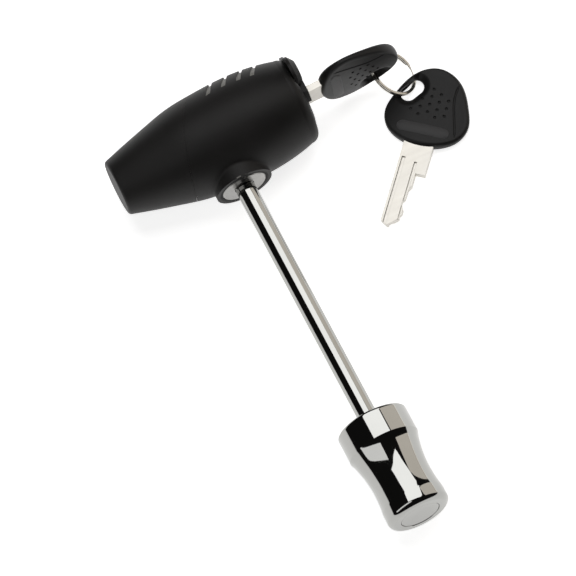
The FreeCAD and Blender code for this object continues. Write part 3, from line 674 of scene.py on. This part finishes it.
def crease_cutter(sign):
    """A half-sunk rod that cuts the crease across one face."""
    line = natural_spline([(u, v) for u, v in CREASE], 40)
    verts, faces = [], []
    sides = CREASE_SIDES
    for k, (u, v) in enumerate(line):
        a = np.array(line[max(k - 1, 0)])
        b = np.array(line[min(k + 1, len(line) - 1)])
        t = (b - a) / np.linalg.norm(b - a)
        end = min(k, len(line) - 1 - k)
        radius = CREASE_RADIUS * (1 if end > 2 else 0.35 + 0.2 * end)
        top = crown_height(v) + CREASE_RAISE
        for i in range(sides):
            angle = 2 * math.pi * i / sides
            off = radius * math.cos(angle)
            verts.append((u - t[1] * off, v + t[0] * off, sign * (top + radius * math.sin(angle))))
    for k in range(len(line) - 1):
        for i in range(sides):
            j = (i + 1) % sides
            faces.append((k * sides + i, k * sides + j, (k + 1) * sides + j, (k + 1) * sides + i))
    faces.append(tuple(range(sides)))
    last = (len(line) - 1) * sides
    faces.append(tuple(range(last, last + sides)))
    return verts, faces


def carve(obj, cutters, matrix):
    """Cuts closed cutter meshes out of a piece and keeps the result as its mesh."""
    verts, faces = [], []
    for more_verts, more_faces in cutters:
        base = len(verts)
        verts += more_verts
        faces += [tuple(base + i for i in face) for face in more_faces]
    tool = new_object(obj.name + "_tool", verts, faces, matrix)
    boolean = obj.modifiers.new("carve", "BOOLEAN")
    boolean.operation = "DIFFERENCE"
    boolean.solver = "EXACT"
    boolean.object = tool
    bpy.context.view_layer.update()
    result = bpy.data.meshes.new_from_object(obj.evaluated_get(bpy.context.evaluated_depsgraph_get()))
    obj.modifiers.clear()
    obj.data = result
    bpy.data.objects.remove(tool)


def label_mesh(name, matrix, sign):
    """Blank oval panel let into one face of the grip."""
    ends = LABEL_HALF - LABEL_RADIUS
    stations = [-LABEL_HALF * math.cos(math.pi * i / LABEL_STEPS) for i in range(LABEL_STEPS + 1)]
    verts, faces = [], []
    for v in stations:
        beyond = max(abs(v) - ends, 0)
        a = max(math.sqrt(max(LABEL_RADIUS ** 2 - beyond ** 2, 0)), 0.02)
        lip = min(LABEL_LIP, a * 0.4)
        top = crown_height(v)
        section = [(-a, -LABEL_DEPTH), (-a, LABEL_EDGE_RAISE), (-a + lip, LABEL_RAISE),
                   (0, LABEL_RAISE),
                   (a - lip, LABEL_RAISE), (a, LABEL_EDGE_RAISE), (a, -LABEL_DEPTH)]
        verts += [(LABEL_U + du, v, sign * (top + dw)) for du, dw in section]
    n = len(section)
    for k in range(len(stations) - 1):
        for i in range(n):
            j = (i + 1) % n
            faces.append((k * n + i, k * n + j, (k + 1) * n + j, (k + 1) * n + i))
    faces.append(tuple(range(n)))
    last = (len(stations) - 1) * n
    faces.append(tuple(range(last, last + n)))
    return new_object(name, verts, faces, matrix)


for key, matrix in (("key_1", KEY_1), ("key_2", KEY_2)):
    grip = bow_mesh(key + "_grip", matrix)
    carve(grip, [dimple_cutter(1), dimple_cutter(-1), crease_cutter(1), crease_cutter(-1)], matrix)
    smooth(grip, 38)
    add_piece(grip, key, "bow_black", [key + "_bow"])
    for side, sign in (("front", 1), ("back", -1)):
        label = label_mesh(f"{key}_label_{side}", matrix, sign)
        smooth(label, 35)
        add_piece(label, key, "bow_black", material=MATERIALS["label_grey"])
    soften_edges(key + "_blade", 0.1)


# Key ring

def ring_matrix():
    """Placement of the ring, whose own axis is Z, in millimetres."""
    normal = Vector(RING_NORMAL).normalized()
    m = normal.to_track_quat("Z", "Y").to_matrix().to_4x4()
    m.translation = RING_CENTRE
    return m


def split_ring(name):
    """Two turns of flat wire that step past each other, with rounded corners and squared ends."""
    corner = RING_CORNER
    a, b = RING_BAND / 2, RING_WIRE / 2
    section = []
    for cx, cy, start in ((a - corner, b - corner, 0), (-a + corner, b - corner, 90),
                          (-a + corner, -b + corner, 180), (a - corner, -b + corner, 270)):
        section += arc((cx, cy), corner, start, start + 90, 4)
    rise_start, rise_end = RING_RISE
    verts, faces = [], []
    angles = np.arange(0.0, RING_STOP + 0.01, RING_STEP)
    n = len(section)
    for angle in angles:
        f = min(max((angle - rise_start) / (rise_end - rise_start), 0), 1)
        z = -RING_OFFSET + 2 * RING_OFFSET * f * f * (3 - 2 * f)
        t = math.radians(angle)
        for x, y in section:
            r = RING_RADIUS + x
            verts.append((r * math.cos(t), r * math.sin(t), z + y))
    for k in range(len(angles) - 1):
        for i in range(n):
            j = (i + 1) % n
            faces.append((k * n + i, k * n + j, (k + 1) * n + j, (k + 1) * n + i))
    faces.append(tuple(range(n)))
    last = (len(angles) - 1) * n
    faces.append(tuple(range(last, last + n)))
    return new_object(name, verts, faces, ring_matrix())


ring = split_ring("split_ring")
smooth(ring, 40)
add_piece(ring, "key_ring", "ring_nickel", ["key_ring"])


# Floor, light and camera

def floor_height(y):
    """Height of the floor in millimetres; it touches the lock's belly and the head's collar."""
    return (-BELLY - (y - LOCK_Y) * math.sin(REST_SLOPE)) / math.cos(REST_SLOPE)


def plain_material(name, colour, emission):
    """Even, matt material that also gives off some white light."""
    material = bpy.data.materials.new(name)
    material.use_nodes = True
    shader = material.node_tree.nodes["Principled BSDF"]
    shader.inputs["Base Color"].default_value = (*colour, 1)
    shader.inputs["Roughness"].default_value = 0.9
    shader.inputs["Specular IOR Level"].default_value = 0.1
    shader.inputs["Emission Color"].default_value = (1, 1, 1, 1)
    shader.inputs["Emission Strength"].default_value = emission
    return material


FLOOR = 4000                   # half of the floor's side
floor_corners = [(x, y, floor_height(y))
                 for x, y in ((-FLOOR, -FLOOR), (FLOOR, -FLOOR), (FLOOR, FLOOR), (-FLOOR, FLOOR))]
floor = new_object("floor", floor_corners, [(0, 1, 2, 3)])
give_material(floor, plain_material("pale_floor", (0.93, 0.93, 0.925), 0.78))


def area_light(name, place, target, size, power, colour=(1, 1, 1)):
    """Rectangular light aimed at a point, in metres and watts, that the camera doesn't see."""
    data = bpy.data.lights.new(name, "AREA")
    data.shape = "RECTANGLE"
    data.size, data.size_y = size
    data.energy = power
    data.color = colour
    light = bpy.data.objects.new(name, data)
    scene.collection.objects.link(light)
    light.location = place
    light.rotation_mode = "QUATERNION"
    light.rotation_quaternion = (Vector(target) - Vector(place)).to_track_quat("-Z", "Y")
    light.visible_camera = False
    return light


area_light("overhead", (0.10, 0.22, 0.62), (0.02, -0.02, 0), (0.62, 0.5), 2.1)
area_light("wall_right", (0.75, 0.10, 0.30), (0, -0.03, 0), (0.5, 0.9), 1.45, (1.0, 0.93, 0.84))
area_light("slit_left", (-0.38, -0.16, 0.42), (0, -0.1, 0), (0.20, 0.7), 0.62)

world = bpy.data.worlds.new("studio")
world.use_nodes = True
world.node_tree.nodes["Background"].inputs["Color"].default_value = (1.0, 0.99, 0.975, 1)
world.node_tree.nodes["Background"].inputs["Strength"].default_value = 0.01
scene.world = world
scene.view_settings.view_transform = "Standard"

RIGHT = Vector((0.8936, -0.442, -0.0792))
UP = Vector((0.4397, 0.8259, 0.353))
BACK = RIGHT.cross(UP).normalized()
UP = BACK.cross(RIGHT).normalized()
RIGHT = UP.cross(BACK).normalized()
AIM = Vector((-1.8, -31.5, -12.0)) * MM
DISTANCE = 5.0
VIEW_WIDTH = 176.7 * MM
camera_data = bpy.data.cameras.new("camera")
camera_data.sensor_width = 36
camera_data.lens = 36 * DISTANCE / VIEW_WIDTH
camera_data.clip_start = 0.1
camera_data.clip_end = 50
camera = bpy.data.objects.new("camera", camera_data)
scene.collection.objects.link(camera)
pose = Matrix((RIGHT, UP, BACK)).transposed().to_4x4()
pose.translation = AIM + BACK * DISTANCE
camera.matrix_world = pose
scene.camera = camera
